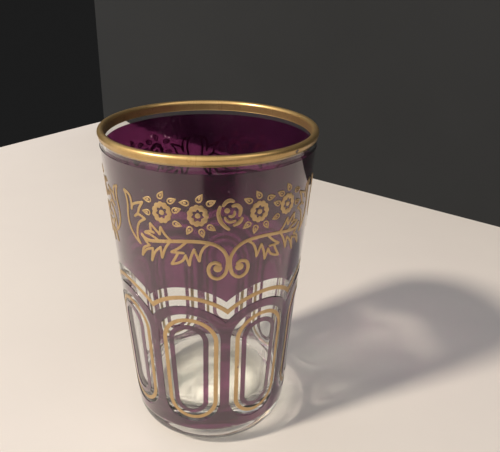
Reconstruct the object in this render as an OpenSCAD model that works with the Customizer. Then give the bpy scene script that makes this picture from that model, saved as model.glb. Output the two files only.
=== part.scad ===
// Moroccan tea glass: a tapered clear tumbler with plum coats and gold prints fired on to it.
// Sizes are in millimetres. The glass stands on Z = 0 and is round about the Z axis.
// A bar between two windows faces -Y, and the first garland is centred close to it.

/* [Glass] */
// Height of the glass
glass_h = 90; // [84:1:110]
// Outside diameter of the straight wall at the top
rim_d = 57; // [52:0.5:64]
// Diameter at which the straight wall would meet the table
foot_d = 44; // [40:0.5:50]
// Thickness of the round bead at the lip
lip_t = 1.6; // [1.2:0.1:2.2]
// How far the bead stands proud of the wall, inside and outside
lip_proud = 0.2; // [0.1:0.05:0.3]
// Thickness of the wall where it meets the base
wall_t = 2.6; // [2:0.1:4]
// Thickness of the base
base_t = 11; // [6:0.5:14]
// Radius of the round heel
heel_r = 7.5; // [4:0.5:9]
// Radius inside, between the wall and the base
well_r = 6.5; // [3:0.5:8]
// Depth of the hollow under the base
punt_depth = 0.8; // [0.4:0.1:1.5]
// Width of the ring that the glass stands on
stand_w = 3; // [2:0.5:5]

/* [Layers] */
// Thickness of the plum coat
coat_t = 0.12; // [0.08:0.01:0.2]
// Thickness of the gold
gold_t = 0.1; // [0.05:0.01:0.15]
// Gap that keeps a layer apart from the one under it
layer_gap = 0.02; // [0.01:0.01:0.05]
// Height of the gold lip band outside, down from the rim
lip_band_h = 2; // [1.6:0.1:4]
// Height of the gold lip band inside, down from the lip's rounding
lip_band_in_h = 1.9; // [1:0.1:3]
// Bare glass between the lip band and the wall coat
lip_clear = 2.15; // [1:0.05:4]
// Bare glass between the heel's rounding and the arcade coat
heel_clear = 0.7; // [0.2:0.1:2]
// Turn of the gold prints against the coats, in degrees
gold_turn = 0.9; // [-1.5:0.1:1.5]

/* [Arcade] */
// Windows round the glass
windows = 8; // [7:1:9]
// Width of the plum bar between two windows
bar_w = 2.6; // [1.6:0.1:4]
// Plum under a window
sill_h = 2.9; // [1.5:0.1:5]
// Plum over the crown of a window
hood_h = 2.6; // [1.5:0.1:4]
// Drop of the hoods from crown to valley
hood_drop = 5; // [4:0.1:6]
// Clear glass between a hood and the gold line
line_gap = 1.9; // [1:0.1:3]
// Width of the gold line
line_w = 1.15; // [0.6:0.05:1.6]
// Drop of the gold line from crown to valley
line_drop = 4; // [3:0.1:5]
// Clear glass between the gold line and the wall coat
scallop_gap = 2.55; // [1.5:0.05:4]
// Drop of the wall coat's scallops from crown to valley
scallop_drop = 4.2; // [3:0.1:5]

/* [Window rings] */
// Clear glass between the window's sides and the gold ring
gold_ring_gap = 0.9; // [0.7:0.05:1.5]
// How much wider that gap is at the window's round ends
ring_end_gap = 0.35; // [0:0.05:1]
// Width of the gold ring
gold_ring_w = 1.1; // [0.6:0.05:1.6]
// Clear glass between the gold ring and the plum ring
plum_ring_gap = 1; // [0.7:0.05:1.6]
// Width of the plum ring
plum_ring_w = 1.35; // [0.8:0.05:1.8]

/* [Garland] */
// Garlands round the glass
garlands = 3; // [2:1:4]
// Height of a garland
garland_h = 23.4; // [20:0.1:27]
// Plain coat below a garland
garland_foot_gap = 2.35; // [1:0.05:4]
// Plain coat above a garland
garland_head_gap = 4.55; // [2:0.05:6]
// Plain coat between two garlands
garland_side_gap = 1.15; // [0.8:0.05:4]
// Width of the vine's line
vine_w = 0.9; // [0.6:0.05:1.1]
// Radius of the disc in the eye of a scroll
scroll_eye_r = 1.05; // [0.7:0.05:1.2]
// Width of a leaf's outline
leaf_w = 0.65; // [0.4:0.05:0.8]
// Length of a leaflet
leaflet_l = 2.5; // [2:0.1:2.8]
// Width of a leaflet
leaflet_w = 1.6; // [1.3:0.1:1.8]
// Width of a leaflet's outline
leaflet_line = 0.36; // [0.25:0.01:0.45]
// Width of a blossom
blossom_w = 5.1; // [4.5:0.1:5.3]
// Height of a blossom
blossom_h = 5.7; // [5:0.1:5.9]
// Radius of the star-shaped hole in a blossom
star_r = 1.5; // [1.2:0.05:1.8]
// Radius of the dot in the star
eye_r = 0.65; // [0.4:0.05:0.8]
// Width of the rose's petals
petal_w = 1; // [0.7:0.05:1.15]
// Width of the petals inside them
inner_petal_w = 0.7; // [0.5:0.05:0.85]
// Radius of the rose's heart
heart_r = 0.65; // [0.4:0.05:0.75]

/* [Hidden] */
$fn = 96;

GARLAND_PIECES = ["vine", "leaves", "blossoms", "rose", "leaflets", "end_leaves"];

GLASS = [0.86, 0.90, 0.90, 0.35];
PLUM = [0.30, 0.15, 0.25];
GOLD = [0.78, 0.60, 0.30];

// The straight outer wall and its lean from upright
rim_r = rim_d / 2;
foot_r = foot_d / 2;
lean = atan((rim_r - foot_r) / glass_h);
function wall_r(z) = foot_r + (rim_r - foot_r) * z / glass_h;

// Centre of a circle of radius r that lies in the corner between a leaning wall and a level floor.
// The wall stands at radius wall on the floor's height and leans out by the angle a.
function corner_x(wall, r, a) = wall + r * tan(a) - r / cos(a);
// Where that circle touches the wall
function corner_touch(x, floor_z, r, a) = [x + r * cos(a), floor_z + r - r * sin(a)];

// The heel, the lip and the inside of the glass
heel_x = corner_x(foot_r, heel_r, lean);
heel_touch = corner_touch(heel_x, 0, heel_r, lean);
lip_r = lip_t / 2;
lip_z = glass_h - lip_r;
// Half the wall's thickness inside the bead, and where the outer and the inner wall end in it
lip_half = lip_r - lip_proud;
lip_x = wall_r(lip_z) - lip_half / cos(lean);
lip_out = [lip_x, lip_z] + lip_half * [cos(lean), -sin(lean)];
well_wall = wall_r(base_t) - wall_t;
lip_way = [lip_x - well_wall, lip_z - base_t];
inner_lean = atan(lip_way.x / lip_way.y) - asin(lip_half / norm(lip_way));
lip_in = [lip_x, lip_z] - lip_half * [cos(inner_lean), -sin(inner_lean)];
function inner_r(z) = well_wall + (z - base_t) * tan(inner_lean);
well_x = corner_x(well_wall, well_r, inner_lean);
well_touch = corner_touch(well_x, base_t, well_r, inner_lean);
// The well's round goes past the lines that it touches by this hair, so that the outlines cross cleanly
WELL_OVERLAP = 0.002;
punt_half = heel_x - stand_w;
punt_r = (punt_half ^ 2 + punt_depth ^ 2) / (2 * punt_depth);

// Heights, from the lip down to the heel. The windows take what is left between the hoods and the sill.
coat_top = glass_h - lip_band_h - lip_clear;
garland_low = coat_top - garland_head_gap - garland_h;
scallop_crown = garland_low - garland_foot_gap;
line_crown = scallop_crown - scallop_gap;
hood_crown = line_crown - line_w - line_gap;
window_high = hood_crown - hood_h;
coat_foot = heel_touch.y + heel_clear;
window_low = coat_foot + sill_h;

// The layers' distances out from the glass
on_glass = layer_gap;
on_coat = on_glass + coat_t + layer_gap;

// The windows: round ends whose half width leaves half a bar on each side
pitch = 360 / windows;
function to_deg(arc, r) = arc / r * 180 / PI;
function window_half(z) = wall_r(z) * sin(pitch / 2 - to_deg(bar_w / 2, wall_r(z)));
window_top_r = window_half(window_high - window_half(window_high));
window_low_r = window_half(window_low + window_half(window_low));

// Points along an arc, between two angles
function arc(middle, r, from, to) = [
    for (k = [0 : ARC_STEPS])
        let (a = from + (to - from) * k / ARC_STEPS)
        middle + r * [cos(a), sin(a)]
];

// The scallops are arcs. Each drops from its crown to where it meets its neighbour, over a bar.
function scallop_r(crown, drop) = let (half = wall_r(crown - drop) * sin(pitch / 2))
    (half ^ 2 + drop ^ 2) / (2 * drop);

// The garland is drawn flat, x from its middle and y up from its foot.
// The vine, from the eye of its scroll round to the stem, then out along the garland
VINE = [
    [2.1, 4.5], [3.0, 5.15], [4.3, 4.8], [4.9, 3.3], [4.3, 1.4], [2.6, 0.6], [0.95, 1.8], [0.35, 4.0],
    [0.35, 6.0], [0.9, 7.6], [2.0, 9.1], [3.9, 10.3], [6.5, 10.85], [9.5, 10.9], [13.0, 10.55],
    [17.0, 9.9], [19.8, 9.45], [21.2, 9.8], [22.1, 10.6]
];
SCROLL_EYE = [2.65, 3.55];

// The leaves on the vine: the lines run from tip to notch, each through its own points
HANGING_LEAF = [
    [[10.2, 10.6], [11.9, 8.9], [13.9, 7.5]],
    [[13.9, 7.5], [10.8, 7.6]],
    [[12.2, 7.5], [12.9, 6.0], [13.9, 4.1]],
    [[13.9, 4.1], [12.2, 4.7], [11.0, 5.6], [10.35, 7.0]],
    [[10.35, 7.0], [9.45, 4.3]],
    [[9.45, 4.3], [9.1, 6.5], [8.3, 8.8]],
    [[8.3, 8.8], [7.05, 5.6]],
    [[7.05, 5.6], [6.75, 7.6], [6.0, 9.3], [4.7, 10.4]]
];
LOWER_LEAF = [
    [[14.1, 10.35], [15.4, 8.3], [16.4, 5.4]],
    [[16.4, 5.4], [16.7, 8.3]],
    [[16.7, 8.3], [18.3, 6.6], [19.35, 3.9]],
    [[19.35, 3.9], [18.9, 7.5]],
    [[18.9, 7.5], [20.9, 6.6], [22.3, 4.6]],
    [[22.3, 4.6], [21.7, 6.9], [19.8, 8.1]],
    [[19.8, 8.1], [20.8, 8.9], [21.5, 9.8]]
];
UPPER_LEAF = [
    [[14.0, 10.7], [15.4, 12.0], [16.5, 13.8]],
    [[16.5, 13.8], [16.8, 11.8]],
    [[16.8, 11.8], [18.2, 13.2], [19.35, 14.2]],
    [[19.35, 14.2], [19.2, 12.4], [18.4, 11.9]],
    [[18.4, 11.9], [19.8, 12.0], [21.1, 11.4]],
    [[21.1, 11.4], [19.2, 11.1], [17.2, 10.1]]
];
END_LEAF = [
    [[22.7, 7.8], [24.4, 9.2], [26.0, 11.6], [26.5, 14.4], [26.35, 17.8], [26.8, 20.0], [27.4, 21.2]],
    [[27.4, 21.2], [25.6, 20.4], [24.95, 18.8], [25.0, 16.7]],
    [[25.0, 16.7], [24.3, 18.2], [21.3, 19.4]],
    [[21.3, 19.4], [22.4, 17.6], [23.0, 16.0], [24.1, 15.0]],
    [[24.1, 15.0], [22.7, 15.8], [20.8, 15.1]],
    [[20.8, 15.1], [22.6, 13.7], [23.4, 11.8], [23.5, 9.4], [22.7, 7.8]]
];

// Middles of the blossoms, and the round foot and direction of each leaflet, on one side
BLOSSOMS = [[7.4, 17.75], [16.05, 17.75]];
LEAFLETS = [
    [[16.8, 21.2], 121], [[14.6, 20.6], 154], [[9.3, 20.8], 3], [[7.6, 21.15], 122],
    [[5.45, 20.5], 153], [[18.65, 20.5], 0], [[19.05, 17.0], 5], [[13.5, 18.4], 158],
    [[13.45, 15.5], 196], [[8.9, 14.9], 297], [[6.7, 14.4], 255], [[5.2, 15.3], 215]
];

// The rose: crescent petals, two smaller ones inside them, and a small heart
ROSE_PETALS = [
    [[-2.3, 20.0], [-2.65, 18.4], [-2.2, 16.4], [-1.2, 15.0], [-0.2, 14.1]],
    [[-1.55, 20.3], [-0.9, 21.15], [0, 21.5], [0.75, 21.25]],
    [[0.65, 20.05], [1.7, 20.15], [2.5, 19.1], [2.3, 17.5]],
    [[2.95, 16.7], [2.3, 15.7], [1.1, 15.05]]
];
ROSE_INNER_PETALS = [
    [[-1.1, 17.2], [-0.7, 16.4], [0.2, 15.95], [1.3, 16.2]],
    [[1.1, 18.6], [1.05, 17.9], [0.5, 17.35], [-0.1, 17.5]]
];
ROSE_HEART = [-0.65, 18.95];
ROSE_MIDDLE = [0, 18];
PETAL_TAPER = 0.3;

// The drawing reaches sideways to the end leaves' tips and up to the leaflets' tips.
// On the glass it is as tall as a garland, and it fills the way round to the next one.
motif_w = 2 * max([for (line = END_LEAF) for (p = line) p.x]) + leaf_w;
motif_h = max([for (leaflet = LEAFLETS) leaflet[0].y + leaflet_l * sin(leaflet[1])]);
garland_mid_r = wall_r(garland_low + garland_h / 2);
garland_x = (2 * PI * garland_mid_r / garlands - garland_side_gap) / motif_w;
garland_y = garland_h / motif_h;
garland_k = min(garland_x, garland_y);
function motif_z(p) = garland_low + p.y * garland_y;
function motif_turn(p) = to_deg(p.x * garland_x, wall_r(motif_z(p)));

// Steps of an arc, and of a curve between two of its points
ARC_STEPS = 24;
CURVE_STEPS = 3;
// Lobes round a blossom's edge and how deep they are, and points of the star in it and how far in it dips
BLOSSOM_LOBES = 11;
LOBE_DEPTH = 0.1;
STAR_POINTS = 7;
STAR_DIP = 0.3;
// Share of a leaflet that its seed takes, the seed's width to its length, and the peak of a drop's formula
SEED_SHARE = 0.36;
SEED_ASPECT = 0.6;
DROP_PEAK = 0.77;

// A smooth curve through all the points p
function curve(p) = [
    for (i = [0 : len(p) - 2]) for (j = [0 : CURVE_STEPS - 1]) curve_point(p, i, j / CURVE_STEPS),
    p[len(p) - 1]
];
function curve_point(p, i, t) =
    let (a = p[max(i - 1, 0)], b = p[i], c = p[i + 1], d = p[min(i + 2, len(p) - 1)])
    b + (c - a) * t / 2 + (a - 2.5 * b + 2 * c - d / 2) * t ^ 2 + (3 * b - a - 3 * c + d) / 2 * t ^ 3;
function unit(v) = v / norm(v);
function left_of(v) = [-v.y, v.x];

// A drawn line of width w with pointed ends. A taper thins it from its middle to its ends.
module drawn_line(p, w, taper = 0) {
    last = len(p) - 1;
    way = [for (i = [0 : last]) unit(p[min(i + 1, last)] - p[max(i - 1, 0)])];
    side = [for (i = [0 : last]) left_of(way[i]) * w / 2 * (1 - taper * (2 * i / last - 1) ^ 2)];
    polygon(concat(
        [p[0] - way[0] * w / 2],
        [for (i = [0 : last]) p[i] - side[i]],
        [p[last] + way[last] * w / 2],
        [for (i = [last : -1 : 0]) p[i] + side[i]]
    ));
}

// Gold prints, which all lie turned a little against the coats
module gold_print()
    color(GOLD)
        rotate([0, 0, gold_turn])
            children();

// A skin of the straight wall between two heights, from one distance out of the glass to another
module skin(low, high, inner, outer)
    rotate_extrude()
        polygon([
            [wall_r(low) + inner, low], [wall_r(low) + outer, low],
            [wall_r(high) + outer, high], [wall_r(high) + inner, high]
        ]);

// A flat drawing, with its y as the height, carried straight out through the wall at -Y
module outwards()
    translate([0, -foot_r / 2, 0])
        rotate([90, 0, 0])
            linear_extrude(rim_d)
                children();

module at_window(i)
    rotate([0, 0, (i - 0.5) * pitch])
        outwards()
            children();

// Everything from the table up to a row of scallops, which is drawn in by inset
module under_scallops(crown, drop, inset = 0) {
    r = scallop_r(crown, drop);
    half = r - inset;
    for (i = [1 : windows])
        at_window(i)
            polygon(concat(arc([0, crown - r], half, 0, 180), [[-half, 0], [half, 0]]));
}

// A window's outline, drawn in by inset: two round ends and the straight sides that touch both.
// Its ends are drawn in by end_gap as well.
module window_shape(inset, end_gap = 0) {
    top = [0, window_high - window_top_r - end_gap];
    low = [0, window_low + window_low_r + end_gap];
    spread = asin((window_top_r - window_low_r) / (top.y - low.y));
    polygon(concat(
        arc(top, window_top_r - inset, -spread, 180 + spread),
        arc(low, window_low_r - inset, 180 + spread, 360 - spread)
    ));
}

// A ring in a window: a line of width w that follows the window's edge, inset from it
module window_ring(i, inset, w, layer_t)
    intersection() {
        skin(window_low, window_high, on_glass, on_glass + layer_t);
        at_window(i)
            difference() {
                window_shape(inset, ring_end_gap);
                window_shape(inset + w, ring_end_gap);
            }
    }

// The glass inside its walls
module inside_section() {
    polygon([[0, base_t], [well_x, base_t], well_touch, lip_in, [lip_in.x, glass_h], [0, glass_h]]);
    translate([well_x, base_t + well_r])
        circle(well_r + WELL_OVERLAP);
}

module glass_body()
    color(GLASS)
        rotate_extrude()
            union() {
                difference() {
                    union() {
                        polygon([[0, 0], [heel_x, 0], heel_touch, lip_out, lip_in, [0, lip_in.y]]);
                        translate([heel_x, heel_r])
                            circle(heel_r);
                    }
                    inside_section();
                    translate([0, punt_depth - punt_r])
                        circle(punt_r, $fn = 720);
                }
                translate([lip_x, lip_z])
                    circle(lip_r);
            }

module plum_wall_coat()
    color(PLUM)
        difference() {
            skin(window_high, coat_top, on_glass, on_glass + coat_t);
            under_scallops(scallop_crown, scallop_drop);
        }

module plum_arcade_coat()
    color(PLUM)
        difference() {
            intersection() {
                skin(coat_foot, line_crown, on_glass, on_glass + coat_t);
                under_scallops(hood_crown, hood_drop);
            }
            for (i = [1 : windows])
                at_window(i)
                    window_shape(0);
        }

module plum_window_ring(i)
    color(PLUM)
        window_ring(i, gold_ring_gap + gold_ring_w + plum_ring_gap, plum_ring_w, coat_t);

module gold_window_ring(i)
    gold_print()
        window_ring(i, gold_ring_gap, gold_ring_w, gold_t);

module gold_arcade_line()
    gold_print()
        difference() {
            intersection() {
                skin(window_low, scallop_crown, on_glass, on_glass + gold_t);
                under_scallops(line_crown, line_drop);
            }
            under_scallops(line_crown, line_drop, line_w);
        }

// How far round the bead goes on below its widest, to where it meets the wall's line at a distance out
function bead_turn(out) = acos((lip_half + out) / (lip_r + out));
// The lip's line at a distance out of the glass, from outside over the bead to inside
function lip_line(out) = concat(
    [[wall_r(glass_h - lip_band_h) + out, glass_h - lip_band_h]],
    arc([lip_x, lip_z], lip_r + out, -lean - bead_turn(out), 180 - inner_lean + bead_turn(out)),
    [[inner_r(lip_z - lip_band_in_h) - out, lip_z - lip_band_in_h]]
);
function reversed(p) = [for (i = [len(p) - 1 : -1 : 0]) p[i]];

module gold_lip_band()
    color(GOLD)
        rotate_extrude()
            polygon(concat(lip_line(on_glass + gold_t), reversed(lip_line(on_glass))));

// Places one garland, and keeps of the drawings only what lies in the skin of gold on the coat
module garland(g)
    gold_print()
        rotate([0, 0, (g - 1) * 360 / garlands])
            intersection() {
                skin(scallop_crown, coat_top, on_coat, on_coat + gold_t);
                children();
            }

module both_sides() {
    children();
    mirror([1, 0, 0])
        children();
}

// A small drawing in its own sizes at the point p of the garland
module stamp(p)
    rotate([0, 0, motif_turn(p)])
        outwards()
            translate([0, motif_z(p)])
                scale(garland_k)
                    children();

// Drawn lines through points of the garland, carried outwards at the point home among them
module line_print(lines, home, w, taper = 0)
    rotate([0, 0, motif_turn(home)])
        for (p = lines)
            outwards()
                drawn_line(curve([for (q = p) flat_point(q, home)]), w * garland_k, taper);
function flat_point(p, home) = [wall_r(motif_z(p)) * sin(motif_turn(p) - motif_turn(home)), motif_z(p)];

// One side's vine, which the leaves grow from
module vine_line()
    line_print([VINE], [8, 8], vine_w);

module garland_vine(g)
    garland(g)
        both_sides() {
            vine_line();
            stamp(SCROLL_EYE)
                circle(scroll_eye_r);
        }

module garland_leaves(g)
    garland(g)
        both_sides()
            difference() {
                for (leaf = [HANGING_LEAF, LOWER_LEAF, UPPER_LEAF])
                    line_print(leaf, leaf[0][0], leaf_w);
                vine_line();
            }

module garland_end_leaves(g)
    garland(g)
        both_sides()
            line_print(END_LEAF, [25, 14], leaf_w);

module garland_rose(g)
    garland(g) {
        line_print(ROSE_PETALS, ROSE_MIDDLE, petal_w, PETAL_TAPER);
        line_print(ROSE_INNER_PETALS, ROSE_MIDDLE, inner_petal_w, PETAL_TAPER);
        stamp(ROSE_HEART)
            circle(heart_r);
    }

module garland_blossoms(g)
    garland(g)
        both_sides()
            for (p = BLOSSOMS)
                stamp(p)
                    blossom();

module garland_leaflets(g)
    garland(g)
        both_sides()
            for (leaflet = LEAFLETS)
                stamp(leaflet[0])
                    rotate(leaflet[1])
                        leaflet_shape();

// A blossom: lobes round its edge, a star-shaped hole and a dot in the middle of it
module blossom() {
    tall = blossom_h / blossom_w;
    lobe_step = 90 / BLOSSOM_LOBES;
    difference() {
        polygon([
            for (k = [0 : 4 * BLOSSOM_LOBES - 1])
                let (r = blossom_w / 2 * (1 - LOBE_DEPTH * (1 - abs(cos(k * 45)))), a = k * lobe_step)
                [r * cos(a), r * sin(a) * tall]
        ]);
        polygon([
            for (k = [0 : 2 * STAR_POINTS - 1])
                let (r = star_r * (k % 2 == 0 ? 1 : 1 - STAR_DIP), a = 90 + k * 180 / STAR_POINTS)
                [r * cos(a), r * sin(a) * tall]
        ]);
    }
    circle(eye_r);
}

// A leaflet: an outlined drop with a small drop inside it
module leaflet_shape() {
    seed_l = leaflet_l * SEED_SHARE;
    difference() {
        drop(leaflet_l, leaflet_w);
        translate([leaflet_line, 0])
            drop(leaflet_l - 3 * leaflet_line, leaflet_w - 2 * leaflet_line);
    }
    translate([leaflet_line * 2, 0])
        drop(seed_l, seed_l * SEED_ASPECT);
}

// A drop of length l and width w along x, round at its foot and pointed at its tip
module drop(l, w)
    polygon([
        for (t = [0 : 30 : 330])
            [l / 2 * (1 + cos(t)), w / 2 * sin(t) * sin(t / 2) / DROP_PEAK]
    ]);

glass_body();
plum_wall_coat();
plum_arcade_coat();
gold_lip_band();
gold_arcade_line();
for (i = [1 : windows]) {
    plum_window_ring(i);
    gold_window_ring(i);
}
for (g = [1 : garlands]) {
    garland_vine(g);
    garland_leaves(g);
    garland_blossoms(g);
    garland_rose(g);
    garland_leaflets(g);
    garland_end_leaves(g);
}
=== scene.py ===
import bmesh
import bpy
import numpy as np
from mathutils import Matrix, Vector


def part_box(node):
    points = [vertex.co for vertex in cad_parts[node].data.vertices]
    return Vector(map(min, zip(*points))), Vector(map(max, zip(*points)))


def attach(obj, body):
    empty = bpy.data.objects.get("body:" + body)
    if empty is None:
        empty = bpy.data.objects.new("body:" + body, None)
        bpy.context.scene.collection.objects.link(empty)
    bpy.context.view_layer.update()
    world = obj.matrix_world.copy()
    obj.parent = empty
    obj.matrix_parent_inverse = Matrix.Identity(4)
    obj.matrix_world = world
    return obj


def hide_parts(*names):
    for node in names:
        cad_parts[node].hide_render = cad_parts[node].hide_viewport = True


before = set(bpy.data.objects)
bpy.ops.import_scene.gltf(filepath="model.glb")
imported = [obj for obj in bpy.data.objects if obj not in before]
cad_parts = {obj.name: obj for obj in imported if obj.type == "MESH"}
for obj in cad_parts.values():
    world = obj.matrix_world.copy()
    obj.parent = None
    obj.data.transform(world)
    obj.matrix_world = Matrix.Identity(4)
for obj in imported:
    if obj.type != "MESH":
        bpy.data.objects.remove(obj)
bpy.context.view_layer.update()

# %% [markdown]
# The glass is round, and all its decoration lies on one straight, leaning wall. So one small rule serves every
# layer: the wall's radius grows evenly with the height. Heights that the solids already have are read from them,
# and only the widths and gaps of the drawing are written down again.
# %% The wall that everything lies on
MM = 0.001
RIM_R = 28.5 * MM
FOOT_R = 22.0 * MM
GLASS_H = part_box("glass_body")[1].z
LAYER_GAP = 0.02 * MM
COAT_T = 0.12 * MM
GOLD_T = 0.10 * MM
ON_GLASS = LAYER_GAP
ON_COAT = 2 * LAYER_GAP + COAT_T
ROUND_STEPS = 384


def wall_radius(z):
    """Radius of the straight outer wall at height z: a line from the foot's radius to the rim's."""
    return FOOT_R + (RIM_R - FOOT_R) * z / GLASS_H


def on_wall(azimuth, z, out):
    """Points (r sin a, -r cos a, z) at azimuth a from the front, where r is the wall's radius at z plus out."""
    azimuth, z, out = np.broadcast_arrays(azimuth, z, out)
    r = wall_radius(z) + out
    return np.stack([r * np.sin(azimuth), -r * np.cos(azimuth), z], axis=-1)


LEAN = np.arctan((RIM_R - FOOT_R) / GLASS_H)
print(f"wall: {GLASS_H / MM:.1f} mm tall, leaning {np.degrees(LEAN):.2f} degrees")

# %% [markdown]
# Every piece is a grid of points with quads between them. A direction of the grid may loop, as it does round the
# glass. Points that fall together, at a pole or a pointed end, are merged afterwards, which closes the skin.
# %% Grids into meshes
WELD = 0.001 * MM
SHARP = np.radians(38)


def grid_quads(rows, columns, loop_rows, loop_columns):
    """Corner numbers of the quads of a grid, also across the seam of a direction that loops."""
    i, j = np.meshgrid(
        np.arange(rows if loop_rows else rows - 1),
        np.arange(columns if loop_columns else columns - 1),
        indexing="ij",
    )
    next_i, next_j = (i + 1) % rows, (j + 1) % columns
    corners = [i * columns + j, next_i * columns + j, next_i * columns + next_j, i * columns + next_j]
    return np.stack(corners, axis=-1).reshape(-1, 4)


def mesh_object(name, points, faces):
    """A mesh with its equal points merged, its faces turned outwards, and smooth shading up to its sharp edges."""
    mesh = bpy.data.meshes.new(name)
    mesh.from_pydata(points.tolist(), [], faces)
    shell = bmesh.new()
    shell.from_mesh(mesh)
    bmesh.ops.remove_doubles(shell, verts=shell.verts, dist=WELD)
    bmesh.ops.dissolve_degenerate(shell, edges=shell.edges, dist=WELD)
    bmesh.ops.recalc_face_normals(shell, faces=shell.faces)
    shell.to_mesh(mesh)
    shell.free()
    mesh.shade_smooth()
    mesh.set_sharp_from_angle(angle=SHARP)
    piece = bpy.data.objects.new(name, mesh)
    bpy.context.scene.collection.objects.link(piece)
    return piece


def mesh_piece(name, grids):
    """One mesh from several (points, quads) grids."""
    sizes = [points.reshape(-1, 3).shape[0] for points, quads in grids]
    starts = np.cumsum([0] + sizes[:-1])
    points = np.concatenate([points.reshape(-1, 3) for points, quads in grids])
    quads = np.concatenate([quads + start for (points_, quads), start in zip(grids, starts)])
    return mesh_object(name, points, quads.tolist())


def finish_piece(piece, material, slot, *nodes):
    """Gives a piece its finish, and lets it stand for the solids of the same layer."""
    piece.data.materials.append(material)
    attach(piece, "root")
    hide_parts(*nodes)
    print(f"{piece.name}: {len(piece.data.polygons)} faces for {', '.join(nodes)}")


# %% [markdown]
# The finishes come next. Three effects turn up in more than one of them: soft clouding where a layer was laid
# thicker or thinner, small worn specks, and fine hair scratches. Each is a node group that puts out masks, so
# that every material can use it in its own measure.
# %% Helpers for shader nodes
def set_inputs(node, **inputs):
    """Gives a node's inputs their values by name, with _ for a space."""
    for name, value in inputs.items():
        node.inputs[name.replace("_", " ")].default_value = value


def add_node(tree, kind, settings=None, **inputs):
    """A new node with its settings and the values of its inputs."""
    made = tree.nodes.new(kind)
    for name, value in (settings or {}).items():
        setattr(made, name, value)
    set_inputs(made, **inputs)
    return made


def join(tree, source, output, target, socket):
    """Links an output to an input, each by name or number."""
    tree.links.new(source.outputs[output], target.inputs[socket])


def maths(tree, operation, *operands):
    """The (node, output) of a sum or a test. Each operand is a number, or such a (node, output)."""
    made = add_node(tree, "ShaderNodeMath", {"operation": operation})
    for number, operand in enumerate(operands):
        if isinstance(operand, tuple):
            join(tree, *operand, made, number)
        else:
            made.inputs[number].default_value = operand
    return made, 0


def remap(tree, value, between=(0, 1), into=(0, 1), kind="LINEAR"):
    """The (node, output) of a value that goes through one range as a given one goes through another."""
    made = add_node(
        tree, "ShaderNodeMapRange", {"interpolation_type": kind},
        From_Min=between[0], From_Max=between[1], To_Min=into[0], To_Max=into[1],
    )
    join(tree, *value, made, "Value")
    return made, "Result"


def new_group(name, inputs, outputs):
    """An empty node group with a Vector input, named value inputs and value outputs."""
    tree = bpy.data.node_groups.new(name, "ShaderNodeTree")
    tree.interface.new_socket("Vector", in_out="INPUT", socket_type="NodeSocketVector")
    for socket, value in inputs.items():
        tree.interface.new_socket(socket, in_out="INPUT", socket_type="NodeSocketFloat").default_value = value
    for socket in outputs:
        tree.interface.new_socket(socket, in_out="OUTPUT", socket_type="NodeSocketFloat")
    return tree, tree.nodes.new("NodeGroupInput"), tree.nodes.new("NodeGroupOutput")


def place_group(tree, group, coordinates, **inputs):
    """A group in a material, fed with the material's coordinates."""
    made = add_node(tree, "ShaderNodeGroup", {"node_tree": group}, **inputs)
    join(tree, coordinates, "Object", made, "Vector")
    return made


# %% Clouding: slow and fine noise
def clouding_group():
    """Two noises of the Scale and of twelve times the Scale, each spread over 0 to 1."""
    tree, source, result = new_group("clouding", {"Scale": 100.0}, ["Cloud", "Grain"])
    slow = source, "Scale"
    for output, scale in (("Cloud", slow), ("Grain", maths(tree, "MULTIPLY", slow, 12))):
        noise = add_node(tree, "ShaderNodeTexNoise", Detail=3, Roughness=0.6)
        join(tree, source, "Vector", noise, "Vector")
        join(tree, *scale, noise, "Scale")
        join(tree, *remap(tree, (noise, "Fac"), (0.3, 0.7)), result, output)
    return tree


# %% Specks: cells of which only a few hold a small worn spot
def specks_group():
    """1 inside a spot of the Size in the Share of cells whose random tone is lowest, and 0 elsewhere."""
    tree, source, result = new_group("specks", {"Scale": 300.0, "Size": 0.2, "Share": 0.1}, ["Mask"])
    cells = add_node(tree, "ShaderNodeTexVoronoi", Randomness=1)
    ragged = add_node(tree, "ShaderNodeTexNoise", Detail=2, Scale=2600)
    tone = add_node(tree, "ShaderNodeSeparateColor")
    for texture in (cells, ragged):
        join(tree, source, "Vector", texture, "Vector")
    join(tree, source, "Scale", cells, "Scale")
    join(tree, cells, "Color", tone, 0)
    edge = maths(tree, "MULTIPLY", (source, "Size"), (ragged, "Fac"))
    inside = maths(tree, "LESS_THAN", (cells, "Distance"), edge)
    picked = maths(tree, "LESS_THAN", (tone, 0), (source, "Share"))
    join(tree, *maths(tree, "MULTIPLY", inside, picked), result, "Mask")
    return tree


# %% Scratches: the thin contour lines of a stretched noise, where a second noise lets them show
def scratches_group():
    """1 where a stretched noise lies within Width of one half and a slow noise is above its gate."""
    tree, source, result = new_group("scratches", {"Scale": 120.0, "Width": 0.004, "Gate": 0.6}, ["Mask"])
    stretch = add_node(tree, "ShaderNodeMapping", Rotation=(0.5, 0.9, 0.3), Scale=(1.0, 1.0, 0.12))
    lines = add_node(tree, "ShaderNodeTexNoise", Detail=1)
    slow = add_node(tree, "ShaderNodeTexNoise", Detail=0, Scale=160)
    join(tree, source, "Vector", stretch, "Vector")
    join(tree, stretch, 0, lines, "Vector")
    join(tree, source, "Scale", lines, "Scale")
    join(tree, source, "Vector", slow, "Vector")
    middle = maths(tree, "COMPARE", (lines, "Fac"), 0.5, (source, "Width"))
    shown = maths(tree, "GREATER_THAN", (slow, "Fac"), (source, "Gate"))
    join(tree, *maths(tree, "MULTIPLY", middle, shown), result, "Mask")
    return tree


CLOUDING = clouding_group()
SPECKS = specks_group()
SCRATCHES = scratches_group()
print("shared effects:", [group.name for group in (CLOUDING, SPECKS, SCRATCHES)])


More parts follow.
